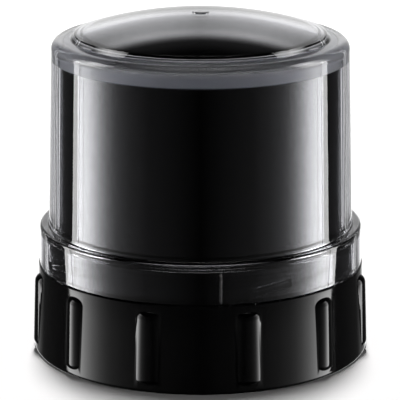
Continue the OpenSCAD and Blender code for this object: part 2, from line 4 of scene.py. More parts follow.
import bpy
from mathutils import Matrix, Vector

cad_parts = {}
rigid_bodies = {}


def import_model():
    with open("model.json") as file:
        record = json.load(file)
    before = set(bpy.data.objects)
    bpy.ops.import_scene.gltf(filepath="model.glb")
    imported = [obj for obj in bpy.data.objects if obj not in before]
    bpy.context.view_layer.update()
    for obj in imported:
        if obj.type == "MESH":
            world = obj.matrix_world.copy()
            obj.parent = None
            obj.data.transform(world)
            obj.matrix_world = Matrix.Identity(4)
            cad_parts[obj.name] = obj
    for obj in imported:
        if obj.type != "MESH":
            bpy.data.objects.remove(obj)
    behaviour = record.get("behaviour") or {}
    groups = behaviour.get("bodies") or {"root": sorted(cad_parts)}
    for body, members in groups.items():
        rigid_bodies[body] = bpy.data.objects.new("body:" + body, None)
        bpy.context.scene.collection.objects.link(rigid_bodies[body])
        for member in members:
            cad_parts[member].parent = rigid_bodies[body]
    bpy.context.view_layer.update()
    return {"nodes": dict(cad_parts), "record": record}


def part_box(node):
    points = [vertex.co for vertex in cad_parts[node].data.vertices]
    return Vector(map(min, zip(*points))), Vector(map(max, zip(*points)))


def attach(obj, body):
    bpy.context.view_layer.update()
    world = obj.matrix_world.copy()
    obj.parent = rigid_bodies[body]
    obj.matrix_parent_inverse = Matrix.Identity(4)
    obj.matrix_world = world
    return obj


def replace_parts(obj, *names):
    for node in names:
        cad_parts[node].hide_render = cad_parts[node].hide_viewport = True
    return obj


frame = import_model()

bl_info = {
    "name": "Food chopper dresser",
    "version": (1, 0, 0),
    "blender": (4, 5, 0),
    "location": "View3D > Sidebar > Chopper",
    "description": "Dresses the solids of a small food chopper with smooth mouldings, "
                   "ground blades and studio light",
    "category": "Object",
}

MM = 0.001
AROUND = 192
SAME_POINT = 0.001 * MM
SHELL_JOIN = 0.01 * MM
SHARP = 32
FIRST_BOX = {name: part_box(name) for name in frame["nodes"]}


def top_of(node):
    return FIRST_BOX[node][1].z


def foot_of(node):
    return FIRST_BOX[node][0].z


def reach_of(node):
    return FIRST_BOX[node][1].x


# Settings

class CollarSettings(bpy.types.PropertyGroup):
    """Sizes and colour of the ribbed collar"""
    foot_radius: bpy.props.FloatProperty(
        name="Foot radius", description="Radius of the collar at its foot",
        default=52.9 * MM, unit='LENGTH')
    top_radius: bpy.props.FloatProperty(
        name="Top radius", description="Radius of the collar under its top edge",
        default=51.0 * MM, unit='LENGTH')
    height: bpy.props.FloatProperty(
        name="Height", description="Height of the collar",
        default=top_of("grip_collar"), unit='LENGTH')
    rib_radius: bpy.props.FloatProperty(
        name="Rib radius", description="Radius of a grip rib's round section at its upper end",
        default=5.5 * MM, unit='LENGTH')
    rib_rounding: bpy.props.FloatProperty(
        name="Rib rounding", description="Rounding of a grip rib's edges and ends",
        default=2.5 * MM, unit='LENGTH')
    rib_crest: bpy.props.FloatProperty(
        name="Rib crest", description="Distance of a rib's upper end from the axis",
        default=52.65 * MM, unit='LENGTH')
    rib_pitch: bpy.props.FloatProperty(
        name="Rib pitch", description="Angle from one rib to the next in a quarter",
        default=math.radians(30.5), subtype='ANGLE')
    rib_gap: bpy.props.FloatProperty(
        name="Rib gap", description="Angle between the two middle ribs at the front",
        default=math.radians(33.7), subtype='ANGLE')
    colour: bpy.props.FloatVectorProperty(
        name="Plastic", description="Colour of the collar's black plastic",
        default=(0.0012, 0.0012, 0.0014), size=3, subtype='COLOR')


class JarSettings(bpy.types.PropertyGroup):
    """Sizes and colours of the clear jar and the bowl in it"""
    skirt_radius: bpy.props.FloatProperty(
        name="Skirt radius", description="Outer radius of the clear skirt at its edge",
        default=reach_of("jar_shell"), unit='LENGTH')
    wall: bpy.props.FloatProperty(
        name="Wall", description="Thickness of the clear wall at the top",
        default=2.65 * MM, unit='LENGTH')
    tint: bpy.props.FloatVectorProperty(
        name="Tint", description="Tint of the clear plastic",
        default=(0.69, 0.695, 0.73), size=3, subtype='COLOR')
    bowl_colour: bpy.props.FloatVectorProperty(
        name="Bowl", description="Colour of the black inner bowl",
        default=(0.0008, 0.0008, 0.0011), size=3, subtype='COLOR')
    # Painted sheen: the pale colour of a band on the black bowl's shoulder, which stands in for
    # the light reflected and scattered there
    shoulder_sheen_colour: bpy.props.FloatVectorProperty(
        name="Painted shoulder sheen", description="Colour of the satin shoulder round the bowl's top",
        default=(0.86, 0.88, 0.94), size=3, subtype='COLOR')


class StageSettings(bpy.types.PropertyGroup):
    """Light and lens of the stage"""
    card_light: bpy.props.FloatProperty(
        name="Room", description="Brightness of the room that the gloss shows", default=1.0)
    air_light: bpy.props.FloatProperty(
        name="Air", description="Brightness of the plain light from all sides", default=0.12)
    lamp_power: bpy.props.FloatProperty(
        name="Soft lamp", description="Power of the soft lamp over the object, in watts",
        default=51.0)
    lens: bpy.props.FloatProperty(
        name="Lens", description="Focal length of the camera in millimetres", default=207.6)


# Modelling helpers

def select_nothing():
    """Leaves edit mode, if it is on, and selects no object."""
    if bpy.context.object and bpy.context.object.mode != 'OBJECT':
        bpy.ops.object.mode_set(mode='OBJECT')
    bpy.ops.object.select_all(action='DESELECT')


def only(obj):
    """Makes obj the one selected and active object."""
    select_nothing()
    obj.select_set(True)
    bpy.context.view_layer.objects.active = obj
    return obj


def named(name):
    """Names the object that was just added."""
    obj = bpy.context.object
    obj.name = obj.data.name = name
    return obj


def settle(obj):
    """Puts the place, turn and size of obj into its mesh."""
    only(obj)
    bpy.ops.object.transform_apply(location=True, rotation=True, scale=True)
    return obj


def fillet(outline, steps=6):
    """Rounds the corners of an outline of (radius, height, rounding) points, in millimetres."""
    points = []
    last = len(outline) - 1
    for i, (r, z, size) in enumerate(outline):
        if not size or i in (0, last):
            points.append((r, z))
            continue
        here = Vector((r, z))
        back = Vector(outline[i - 1][:2]) - here
        ahead = Vector(outline[i + 1][:2]) - here
        turn = back.angle(ahead)
        reach = min(size / math.tan(turn / 2), back.length * 0.49, ahead.length * 0.49)
        size = reach * math.tan(turn / 2)
        middle = here + (back.normalized() + ahead.normalized()).normalized() * (
            size / math.sin(turn / 2))
        first = here + back.normalized() * reach - middle
        sweep = math.pi - turn
        side = 1 if first.cross(here - middle) > 0 else -1
        for k in range(steps + 1):
            a = side * sweep * k / steps
            points.append((middle.x + first.x * math.cos(a) - first.y * math.sin(a),
                           middle.y + first.x * math.sin(a) + first.y * math.cos(a)))
    return points


def dome(edge_r, edge_z, rise, steps):
    """Points of a round cap from its edge to the axis, in millimetres."""
    ball = (edge_r ** 2 + rise ** 2) / (2 * rise)
    reach = math.asin(edge_r / ball)
    return [(ball * math.sin(reach * (1 - k / steps)),
             edge_z + rise - ball * (1 - math.cos(reach * (1 - k / steps))))
            for k in range(steps)] + [(0.0, edge_z + rise)]


def turned(name, outline, closed=True, around=AROUND):
    """A turned piece: one ring of points, extruded and resized along its outline, in
    millimetres. A closed piece joins its last ring to its first."""
    select_nothing()
    r, z = outline[0]
    bpy.ops.mesh.primitive_circle_add(vertices=around, radius=r * MM, location=(0, 0, z * MM))
    obj = settle(named(name))
    bpy.ops.object.mode_set(mode='EDIT')
    bpy.ops.mesh.select_mode(type='VERT')
    bpy.ops.mesh.select_all(action='SELECT')
    for new_r, new_z in outline[1:]:
        bpy.ops.mesh.extrude_region_move(
            TRANSFORM_OT_translate={"value": (0, 0, (new_z - z) * MM)})
        if new_r == 0:
            bpy.ops.mesh.merge(type='CENTER')
        else:
            k = new_r / r
            bpy.ops.transform.resize(value=(k, k, 1), center_override=(0, 0, new_z * MM))
        r, z = new_r, new_z
    if closed:
        bpy.ops.mesh.select_all(action='DESELECT')
        bpy.ops.mesh.select_non_manifold()
        bpy.ops.mesh.bridge_edge_loops()
    bpy.ops.mesh.select_all(action='SELECT')
    bpy.ops.mesh.normals_make_consistent(inside=False)
    bpy.ops.object.mode_set(mode='OBJECT')
    return obj


def smooth(obj, angle):
    """Shades a piece smooth, but for the edges that turn more than an angle in degrees."""
    only(obj)
    bpy.ops.object.shade_smooth_by_angle(angle=math.radians(angle))
    return obj


def add_to(obj, extra):
    """Makes a second closed shape part of obj, and removes it."""
    only(obj)
    step = obj.modifiers.new("Shape", 'BOOLEAN')
    step.operation, step.solver, step.object = 'UNION', 'EXACT', extra
    bpy.ops.object.modifier_apply(modifier=step.name)
    bpy.data.objects.remove(extra)


def join(objs, name):
    """Joins several objects in one and names it."""
    only(objs[0])
    for other in objs[1:]:
        other.select_set(True)
    bpy.ops.object.join()
    return named(name)


def merged(obj):
    """Joins the shells of a piece where their rims meet, and turns its faces outwards."""
    only(obj)
    bpy.ops.object.mode_set(mode='EDIT')
    bpy.ops.mesh.select_all(action='SELECT')
    bpy.ops.mesh.remove_doubles(threshold=SHELL_JOIN)
    bpy.ops.mesh.normals_make_consistent(inside=False)
    bpy.ops.object.mode_set(mode='OBJECT')
    return obj


def capped(obj):
    """Closes the open ends of a piece with flat faces, and turns its faces outwards."""
    only(obj)
    bpy.ops.object.mode_set(mode='EDIT')
    bpy.ops.mesh.select_all(action='DESELECT')
    bpy.ops.mesh.select_non_manifold()
    bpy.ops.mesh.edge_face_add()
    bpy.ops.mesh.select_all(action='SELECT')
    bpy.ops.mesh.normals_make_consistent(inside=False)
    bpy.ops.object.mode_set(mode='OBJECT')
    return obj


def softened(node, width):
    """A copy of a solid whose edges are rounded to a width in millimetres."""
    flat = math.radians(0.3)
    first = frame["nodes"][node]
    piece = first.copy()
    piece.data = first.data.copy()
    piece.name = piece.data.name = node + "_finished"
    bpy.context.scene.collection.objects.link(piece)
    only(piece)
    bpy.ops.object.mode_set(mode='EDIT')
    bpy.ops.mesh.select_all(action='SELECT')
    bpy.ops.mesh.remove_doubles(threshold=SAME_POINT)
    bpy.ops.mesh.dissolve_limited(angle_limit=flat)
    bpy.ops.mesh.normals_make_consistent(inside=False)
    bpy.ops.object.mode_set(mode='OBJECT')
    return smooth(bevelled(piece, width, 2), SHARP)


def bevelled(obj, width, segments):
    """Rounds all sharp edges of a piece to a width in millimetres."""
    edge = only(obj).modifiers.new("Edge", 'BEVEL')
    edge.width, edge.segments, edge.limit_method = width * MM, segments, 'ANGLE'
    edge.angle_limit = math.radians(SHARP)
    bpy.ops.object.modifier_apply(modifier=edge.name)
    return obj


def turned_round(obj, degrees):
    """Turns a piece about the vertical axis and settles it."""
    obj.rotation_euler = (0, 0, math.radians(degrees))
    return settle(obj)


def arc_block(name, r_out, r_in, height, span, steps=16):
    """A block bent round the axis and centred on the x axis, in millimetres and degrees."""
    select_nothing()
    bpy.ops.mesh.primitive_plane_add(size=1, rotation=(math.radians(90), 0, 0))
    obj = named(name)
    obj.scale = ((r_out - r_in) * MM, height * MM, 1)
    obj.location = ((r_out + r_in) / 2 * MM, 0, 0)
    settle(obj)
    bpy.ops.object.mode_set(mode='EDIT')
    bpy.ops.mesh.select_all(action='SELECT')
    bpy.ops.mesh.spin(steps=steps, angle=math.radians(span), center=(0, 0, 0), axis=(0, 0, 1))
    bpy.ops.mesh.select_all(action='SELECT')
    bpy.ops.mesh.remove_doubles(threshold=SAME_POINT)
    bpy.ops.object.mode_set(mode='OBJECT')
    capped(obj)
    middle = sum((v.co for v in obj.data.vertices), Vector()) / len(obj.data.vertices)
    return turned_round(obj, -math.degrees(math.atan2(middle.y, middle.x)))


def finished(obj, body, slot, node, material):
    """Gives a piece its material, its body and the solid that it stands for. The slot is not used.
    """
    obj.data.materials.clear()
    obj.data.materials.append(material)
    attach(obj, body)
    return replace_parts(obj, node)


# Materials

def new_material(name):
    """A material, its nodes, and the call that links them."""
    material = bpy.data.materials.new(name)
    material.use_nodes = True
    return material, material.node_tree.nodes, material.node_tree.links.new


def with_values(node, values):
    """Sets inputs of a node by their names."""
    for key, value in values.items():
        node.inputs[key].default_value = value
    return node


def maths(n, link, operation, *values):
    """A maths node fed with sockets or plain numbers."""
    node = n.new('ShaderNodeMath')
    node.operation = operation
    for socket, value in zip(node.inputs, values):
        if isinstance(value, (int, float)):
            socket.default_value = value
        else:
            link(value, socket)
    return node.outputs[0]


def ranged(n, link, value, low, high, at_low=0.0, at_high=1.0, soft=False):
    """A value that goes from at_low to at_high as the one it is fed goes from low to high."""
    span = n.new('ShaderNodeMapRange')
    span.interpolation_type = 'SMOOTHSTEP' if soft else 'LINEAR'
    with_values(span, {"From Min": low, "From Max": high, "To Min": at_low, "To Max": at_high})
    link(value, span.inputs["Value"])
    return span.outputs["Result"]


def off_axis(n, link, place):
    """How far a place lies from the upright axis, in metres."""
    flat = n.new('ShaderNodeVectorMath')
    flat.operation = 'MULTIPLY'
    flat.inputs[1].default_value = (1, 1, 0)
    link(place.outputs["Object"], flat.inputs[0])
    reach = n.new('ShaderNodeVectorMath')
    reach.operation = 'LENGTH'
    link(flat.outputs[0], reach.inputs[0])
    return reach.outputs["Value"]


def height_of(n, link, place):
    """How high a place lies, in metres."""
    parts = n.new('ShaderNodeSeparateXYZ')
    link(place.outputs["Object"], parts.inputs[0])
    return parts.outputs["Z"]


def moulded_surface():
    """Shader group: the faint waves, pores and handling marks of a moulded surface."""
    if "Moulded surface" in bpy.data.node_groups:
        return bpy.data.node_groups["Moulded surface"]
    group = bpy.data.node_groups.new("Moulded surface", 'ShaderNodeTree')
    for name, default in (("Gloss roughness", 0.05), ("Mark strength", 0.05),
                          ("Wave size", 90.0), ("Wave depth", 0.02),
                          ("Grain size", 2500.0), ("Grain depth", 0.0)):
        group.interface.new_socket(
            name=name, in_out='INPUT', socket_type='NodeSocketFloat').default_value = default
    for name, kind in (("Roughness", 'NodeSocketFloat'), ("Marks", 'NodeSocketFloat'),
                       ("Normal", 'NodeSocketVector')):
        group.interface.new_socket(name=name, in_out='OUTPUT', socket_type=kind)
    n, link = group.nodes, group.links.new
    start, end = n.new('NodeGroupInput'), n.new('NodeGroupOutput')
    place = n.new('ShaderNodeTexCoord')
    wave = with_values(n.new('ShaderNodeTexNoise'), {"Detail": 1.0})
    grain = with_values(n.new('ShaderNodeTexNoise'), {"Detail": 2.0})
    marks = with_values(n.new('ShaderNodeTexNoise'),
                        {"Scale": 260.0, "Detail": 6.0, "Roughness": 0.7})
    for texture in (wave, grain, marks):
        link(place.outputs["Object"], texture.inputs["Vector"])
    link(start.outputs["Wave size"], wave.inputs["Scale"])
    link(start.outputs["Grain size"], grain.inputs["Scale"])
    thin = ranged(n, link, marks.outputs["Fac"], 0.55, 0.8)
    rough = maths(n, link, 'MULTIPLY_ADD', thin, start.outputs["Mark strength"],
                  start.outputs["Gloss roughness"])
    link(rough, end.inputs["Roughness"])
    link(thin, end.inputs["Marks"])
    waves = with_values(n.new('ShaderNodeBump'), {"Distance": 1.0 * MM})
    link(start.outputs["Wave depth"], waves.inputs["Strength"])
    link(wave.outputs["Fac"], waves.inputs["Height"])
    pores = with_values(n.new('ShaderNodeBump'), {"Distance": 0.1 * MM})
    link(start.outputs["Grain depth"], pores.inputs["Strength"])
    link(grain.outputs["Fac"], pores.inputs["Height"])
    link(waves.outputs["Normal"], pores.inputs["Normal"])
    link(pores.outputs["Normal"], end.inputs["Normal"])
    return group


def moulded_skin(n, values):
    """The group of the moulded surface, placed in a material with its values."""
    skin = n.new('ShaderNodeGroup')
    skin.node_tree = moulded_surface()
    return with_values(skin, values)


def plastic(name, colour, roughness, marks=0.03, wave=0.02, wave_size=90.0,
            grain=0.0, grain_size=2500.0, pale=0.0):
    """Opaque moulded plastic or rubber with its waves, pores and faint handling marks."""
    material, n, link = new_material(name)
    shader = with_values(n["Principled BSDF"], {"IOR": 1.5})
    skin = moulded_skin(n, {
        "Gloss roughness": roughness, "Mark strength": marks, "Wave size": wave_size,
        "Wave depth": wave, "Grain size": grain_size, "Grain depth": grain})
    tone = n.new('ShaderNodeMix')
    tone.data_type = 'RGBA'
    tone.inputs["A"].default_value = (*colour, 1)
    tone.inputs["B"].default_value = (*[c + pale for c in colour], 1)
    link(skin.outputs["Marks"], tone.inputs["Factor"])
    link(tone.outputs["Result"], shader.inputs["Base Color"])
    link(skin.outputs["Roughness"], shader.inputs["Roughness"])
    link(skin.outputs["Normal"], shader.inputs["Normal"])
    return material


def clear_plastic(name, tint, frost_r, frost_low, frost_high):
    """Clear moulded plastic, with faint waves and wiping marks. It is frosted inside a
    cylinder of one radius, between two heights, all in millimetres."""
    frosted_roughness = 0.45
    material, n, link = new_material(name)
    shader = with_values(n["Principled BSDF"], {
        "Base Color": (*tint, 1), "IOR": 1.56, "Transmission Weight": 1.0})
    skin = moulded_skin(n, {"Gloss roughness": 0.01, "Mark strength": 0.005,
                            "Wave size": 60.0, "Wave depth": 0.004})
    place = n.new('ShaderNodeTexCoord')
    height = height_of(n, link, place)
    inside = maths(n, link, 'LESS_THAN', off_axis(n, link, place), frost_r * MM)
    over = maths(n, link, 'GREATER_THAN', height, frost_low * MM)
    under = maths(n, link, 'LESS_THAN', height, frost_high * MM)
    zone = maths(n, link, 'MULTIPLY', maths(n, link, 'MULTIPLY', inside, over), under)
    rough = maths(n, link, 'MULTIPLY_ADD', zone, frosted_roughness, skin.outputs["Roughness"])
    link(rough, shader.inputs["Roughness"])
    link(skin.outputs["Normal"], shader.inputs["Normal"])
    return material


def turned_metal(name, colour, roughness, line_size=1200.0, depth=0.15, across=(0, 0, 1)):
    """Metal with fine machining lines at right angles to one direction."""
    along_lines = 0.04
    darkest, palest = 0.85, 1.08
    material, n, link = new_material(name)
    shader = with_values(n["Principled BSDF"], {"Metallic": 1.0})
    place = n.new('ShaderNodeTexCoord')
    stretch = n.new('ShaderNodeMapping')
    stretch.inputs["Scale"].default_value = [1.0 if a else along_lines for a in across]
    link(place.outputs["Object"], stretch.inputs["Vector"])
    lines = with_values(n.new('ShaderNodeTexNoise'), {"Scale": line_size, "Detail": 3.0})
    link(stretch.outputs["Vector"], lines.inputs["Vector"])
    tone = n.new('ShaderNodeMix')
    tone.data_type = 'RGBA'
    tone.inputs["A"].default_value = (*[c * darkest for c in colour], 1)
    tone.inputs["B"].default_value = (*[min(1.0, c * palest) for c in colour], 1)
    link(lines.outputs["Fac"], tone.inputs["Factor"])
    link(tone.outputs["Result"], shader.inputs["Base Color"])
    rough = ranged(n, link, lines.outputs["Fac"], 0, 1, roughness * 0.7, roughness * 1.4)
    link(rough, shader.inputs["Roughness"])
    bump = with_values(n.new('ShaderNodeBump'), {"Strength": depth, "Distance": 0.05 * MM})
    link(lines.outputs["Fac"], bump.inputs["Height"])
    link(bump.outputs["Normal"], shader.inputs["Normal"])
    return material


# Pieces

class CHOPPER_OT_collar(bpy.types.Operator):
    """Model the ribbed black collar that the chopper stands on"""
    bl_idname = "chopper.collar"
    bl_label = "Ribbed collar"

    def bar(self, s, height):
        """A round bar, wider at its foot, whose upper end is centred on the origin"""
        wider_foot = 1.4 * MM
        select_nothing()
        bpy.ops.mesh.primitive_cone_add(
            vertices=96, radius1=s.rib_radius + wider_foot, radius2=s.rib_radius,
            depth=height * MM, location=(0, 0, -height * MM / 2))
        bar = settle(bpy.context.object)
        bpy.ops.object.mode_set(mode='EDIT')
        bpy.ops.mesh.select_mode(type='EDGE')
        bpy.ops.mesh.select_all(action='DESELECT')
        bpy.ops.object.mode_set(mode='OBJECT')
        for edge in bar.data.edges:
            ends = [bar.data.vertices[i].co.z for i in edge.vertices]
            edge.select = abs(ends[0] - ends[1]) < 0.1 * MM
        bpy.ops.object.mode_set(mode='EDIT')
        bpy.ops.mesh.bevel(offset=s.rib_rounding, segments=8, affect='EDGES')
        bpy.ops.object.mode_set(mode='OBJECT')
        return bar

    def rib(self, s, low, high, back):
        """A bar that leans out towards its foot, cut off flat at its back inside the wall"""
        lean = math.radians(1.2)
        rib = self.bar(s, high - low)
        rib.rotation_euler = (0, lean, 0)
        rib.location = (s.rib_crest - s.rib_radius, 0, high * MM)
        settle(rib)
        bpy.ops.object.mode_set(mode='EDIT')
        bpy.ops.mesh.select_all(action='SELECT')
        bpy.ops.mesh.bisect(plane_co=(back * MM, 0, 0), plane_no=(1, 0, 0),
                            clear_inner=True, use_fill=True)
        bpy.ops.object.mode_set(mode='OBJECT')
        return rib

    def execute(self, context):
        s = context.scene.chopper_collar
        foot, top, height = s.foot_radius / MM, s.top_radius / MM, s.height / MM
        bore, lip, lip_low = 49.2, 45.4, height - 2.5
        ledge, ledge_low, ledge_high = 47.6, 10.1, 11.6
        outline = fillet([
            (bore, 0.02, 0), (foot, 0, 1.2), (top, height, 0.4), (lip, height, 0.3),
            (lip, lip_low, 0.3), (bore, lip_low, 0.4), (bore, ledge_high, 0.2),
            (ledge, ledge_high, 0.2), (ledge, ledge_low, 0.2), (bore, ledge_low, 0.2),
            (bore, 0.3, 0)])
        collar = turned("grip_collar_smooth", outline, around=256)
        rib_end_gap, rib_back, all_turned = 1.9, bore + 0.5, -0.8
        pitch, gap = math.degrees(s.rib_pitch), math.degrees(s.rib_gap)
        for face, side, k in ((f, g, k) for f in (-90, 90) for g in (-1, 1) for k in range(3)):
            angle = all_turned + face + side * (gap / 2 + k * pitch)
            rib = self.rib(s, rib_end_gap, height - rib_end_gap, rib_back)
            turned_round(rib, angle)
            add_to(collar, rib)
        smooth(collar, 35)
        finished(collar, "base", "collar_black", "grip_collar",
                 plastic("Collar plastic", s.colour, 0.07, marks=0.04, wave=0.015,
                         grain=0.05, grain_size=3000.0, pale=0.004))
        return {'FINISHED'}


class CHOPPER_OT_jar(bpy.types.Operator):
    """Model the clear jar with its dome, stepped skirt, lugs and moulding nub"""
    bl_idname = "chopper.jar"
    bl_label = "Clear jar"

    def nub(self, apex):
        """The flat moulding nub in the middle of the dome"""
        r, height, sunk = 2.5, 0.3, 0.6
        nub = turned("nub", fillet([
            (r + 0.2, apex - sunk, 0), (r, apex + height, 0.2), (0.6, apex + height, 0),
            (0, apex + height - 0.02, 0)]), closed=False, around=48)
        return capped(nub)

    def lugs(self, skirt, skirt_in, low):
        """The lugs inside the skirt, which lie on the helix that the jar screws down"""
        lead, span, height, middle, turn, count = 45, 14, 2.6, 3.3, -63, 4
        buried_end, free_end = skirt - 2.4, skirt - 4.8
        tilt = math.atan(lead / (2 * math.pi * skirt_in))
        for k in range(count):
            lug = arc_block("lug", buried_end, free_end, height, span)
            bevelled(lug, 0.4, 2)
            lug.rotation_euler = (tilt, 0, 0)
            lug.location = (0, 0, (low + middle) * MM)
            settle(lug)
            yield turned_round(lug, turn + 360 / count * k)

    def index_mark(self, skirt, low):
        """The raised upright line on the skirt that is set against the collar"""
        proud, buried, height, span, middle, turn = 0.12, 1, 9.3, 0.65, 5.15, -83.2
        mark = arc_block("index", skirt + proud, skirt - buried, height, span, steps=2)
        bevelled(mark, 0.11, 1)
        mark.location = (0, 0, (low + middle) * MM)
        settle(mark)
        return turned_round(mark, turn)

    def execute(self, context):
        s = context.scene.chopper_jar
        skirt, wall = s.skirt_radius / MM, s.wall / MM
        low = foot_of("jar_shell") / MM
        skirt_in, skirt_top_r = skirt - 2.95, skirt - 0.25
        jar_foot, jar_top = skirt - 3.05, skirt - 4.55
        roof_z, skirt_top, ring_z, dome_z = low + 9.6, low + 12.3, low + 70.7, low + 72.5
        jar_in, ring_in, dome_r, rise = skirt - 6.5, 40.1, 38.9, 6.0
        dome_in_r, dome_in_z, rise_in = 36.9, dome_z - wall + 0.2, rise - 0.2
        ceiling_r, ceiling_z = 38.5, ring_z - wall
        outer = fillet([
            (skirt_in, low, 0), (skirt, low, 0.25), (skirt_top_r, skirt_top, 1.0),
            (jar_foot, skirt_top, 0.6), (jar_top, ring_z, 4.1), (ring_in, ring_z, 0.5),
            (dome_r, dome_z, 0)], steps=8)[:-1]
        outer += dome(dome_r, dome_z, rise, 22)
        inner = fillet([
            (dome_in_r, dome_in_z, 0), (ceiling_r, ceiling_z, 0.8),
            (jar_top - wall, ceiling_z, 1.7), (jar_in, roof_z, 0.4),
            (skirt_in, roof_z, 0.5), (skirt_in, low, 0)], steps=8)[1:]
        upwards = list(reversed(inner)) + dome(dome_in_r, dome_in_z, rise_in, 22)
        jar = join([turned("clear_jar", outer, closed=False),
                    turned("jar_lining", upwards, closed=False)], "clear_jar")
        merged(jar)
        add_to(jar, self.nub(dome_z + rise))
        for lug in self.lugs(skirt, skirt_in, low):
            add_to(jar, lug)
        add_to(jar, self.index_mark(skirt, low))
        smooth(jar, 35)
        frost_r, frost_low, frost_high = skirt - 6.0, ring_z - 6.5, ceiling_z + 0.4
        finished(jar, "jar", "jar_clear", "jar_shell",
                 clear_plastic("Clear jar plastic", s.tint, frost_r, frost_low, frost_high))
        return {'FINISHED'}


class CHOPPER_OT_bowl(bpy.types.Operator):
    """Model the black bowl inside the jar, with its stepped domed top"""
    bl_idname = "chopper.bowl"
    bl_label = "Inner bowl"

    def painted_sheen_band(self, material, colour, low, high):
        """Gives the material a pale satin band between two heights in millimetres. Its pale colour
        is a painted sheen that stands in for light reflected and scattered round the black bowl's
        shoulder. Its higher roughness is a real satin surface.
        """
        blur, satin_roughness = 0.15, 0.5
        n, link = material.node_tree.nodes, material.node_tree.links.new
        shader = n["Principled BSDF"]
        height = height_of(n, link, n.new('ShaderNodeTexCoord'))
        over = ranged(n, link, height, (low - blur) * MM, (low + blur) * MM)
        under = ranged(n, link, height, (high + blur) * MM, (high - blur) * MM)
        zone = maths(n, link, 'MULTIPLY', over, under)
        # Mixes into the band the pale painted sheen colour, which stands in for reflected light,
        # and the real satin roughness
        for socket, kind, value in (("Base Color", 'RGBA', (*colour, 1)),
                                    ("Roughness", 'FLOAT', satin_roughness)):
            mix = n.new('ShaderNodeMix')
            mix.data_type = kind
            before = shader.inputs[socket].links[0].from_socket
            link(zone, mix.inputs["Factor"])
            gloss, satin_and_sheen = [i for i in mix.inputs if i.enabled and i.name in ("A", "B")]
            link(before, gloss)
            satin_and_sheen.default_value = value
            result = [o for o in mix.outputs if o.enabled][0]
            link(result, shader.inputs[socket])

    def execute(self, context):
        s = context.scene.chopper_jar
        low, top = foot_of("inner_bowl") / MM, top_of("inner_bowl") / MM
        edge_z, rise, wall = 91.0, 5.7, 1.6
        dome_z = top - rise
        flange, flange_top, foot_in, foot_out = 47.65, low + 1.8, 42.3, 43.9
        edge_r, step_r, step_top_r, dome_r = 43.2, 38.1, 37.3, 36.4
        edge_in_r, dome_in_r = 41.5, 35.4
        step_z, step_top_z = edge_z + 4.2, dome_z - 0.4
        outer = fillet([
            (foot_in, low, 0), (flange, low, 0.3), (flange, flange_top, 0.3),
            (foot_out, flange_top, 0.4), (edge_r, edge_z, 0.5), (step_r, step_z, 0.4),
            (step_top_r, step_top_z, 0), (dome_r, dome_z, 0)], steps=6)[:-1]
        outer += dome(dome_r, dome_z, rise, 20)
        inner = fillet([
            (foot_in, low, 0), (edge_in_r, edge_z - wall, 1.2), (dome_in_r, dome_z - wall, 0)],
            steps=5)
        inner += dome(dome_in_r, dome_z - wall, rise, 16)[1:]
        bowl = join([turned("black_bowl", outer, closed=False),
                     turned("bowl_lining", inner, closed=False)], "black_bowl")
        smooth(merged(bowl), 35)
        gloss = plastic("Bowl plastic", s.bowl_colour, 0.04, marks=0.01, wave=0.008,
                        wave_size=70.0, pale=0.001)
        # Paints a pale sheen band round the bowl's shoulder, which stands in for reflected light
        # on the black plastic
        self.painted_sheen_band(gloss, s.shoulder_sheen_colour, edge_z + 0.4, dome_z - 0.5)
        finished(bowl, "jar", "bowl_black", "inner_bowl", gloss)
        return {'FINISHED'}


class CHOPPER_OT_inner_parts(bpy.types.Operator):
    """Give the working parts under the jar their materials"""
    bl_idname = "chopper.inner_parts"
    bl_label = "Working parts"

    def execute(self, context):
        finishes = {
            "carrier_black": plastic("Carrier plastic", (0.007, 0.007, 0.008), 0.12,
                                     marks=0.08, grain=0.1, pale=0.006),
            "cover_black": plastic("Cover plastic", (0.010, 0.010, 0.011), 0.35,
                                   marks=0.1, grain=0.5, grain_size=1800.0, pale=0.008),
            "bowl_black": plastic("Ring plastic", (0.006, 0.006, 0.007), 0.2, grain=0.1),
            "blade_steel": turned_metal("Ground blade steel", (0.60, 0.61, 0.63), 0.18,
                                        line_size=1600.0, depth=0.3, across=(1, 0, 0)),
            "shaft_steel": turned_metal("Turned shaft steel", (0.52, 0.53, 0.55), 0.2),
            "housing_steel": turned_metal("Turned housing steel", (0.50, 0.51, 0.52), 0.28),
            "fastener_steel": turned_metal("Plated steel", (0.62, 0.62, 0.64), 0.24,
                                           line_size=700.0),
            "bearing_bronze": turned_metal("Sintered bronze", (0.50, 0.30, 0.14), 0.4,
                                           line_size=2500.0, depth=0.5),
            "black_rubber": plastic("Black rubber", (0.02, 0.02, 0.021), 0.55, marks=0.15,
                                    grain=0.8, grain_size=1500.0, pale=0.01),
            "white_silicone": plastic("Milky silicone", (0.72, 0.76, 0.80), 0.35, marks=0.1,
                                      grain=0.2, pale=0.03),
            "white_nylon": plastic("White nylon", (0.78, 0.77, 0.72), 0.4, marks=0.1,
                                   grain=0.3, pale=0.03),
        }
        edge_widths = {
            "blade_carrier": 0.3, "base_cover": 0.3, "cover_screws": 0.15, "bearing_housing": 0.25,
            "housing_gasket": 0.2, "housing_nut": 0.25, "lower_bearing": 0.15,
            "upper_bearing": 0.15, "shaft_seal": 0.1, "seal_retainer": 0.1, "drive_shaft": 0.12,
            "retaining_ring": 0.12, "lower_thrust_washer": 0.15, "upper_thrust_washer": 0.15,
            "drive_coupling": 0.3, "coupling_pin": 0.15, "lower_blade": 0.08,
            "blade_spacer": 0.2, "upper_blade": 0.08, "blade_washer": 0.15, "blade_nut": 0.3,
            "jar_seal": 0.3, "bowl_ring": 0.2}
        slots = {p["node"]: p["material_slot"] for p in frame["record"]["subparts"]}
        bodies = frame["record"]["behaviour"]["bodies"]
        for name, width in edge_widths.items():
            body = [b for b, nodes in bodies.items() if name in nodes][0]
            finished(softened(name, width), body, slots[name], name, finishes[slots[name]])
        return {'FINISHED'}


# Stage

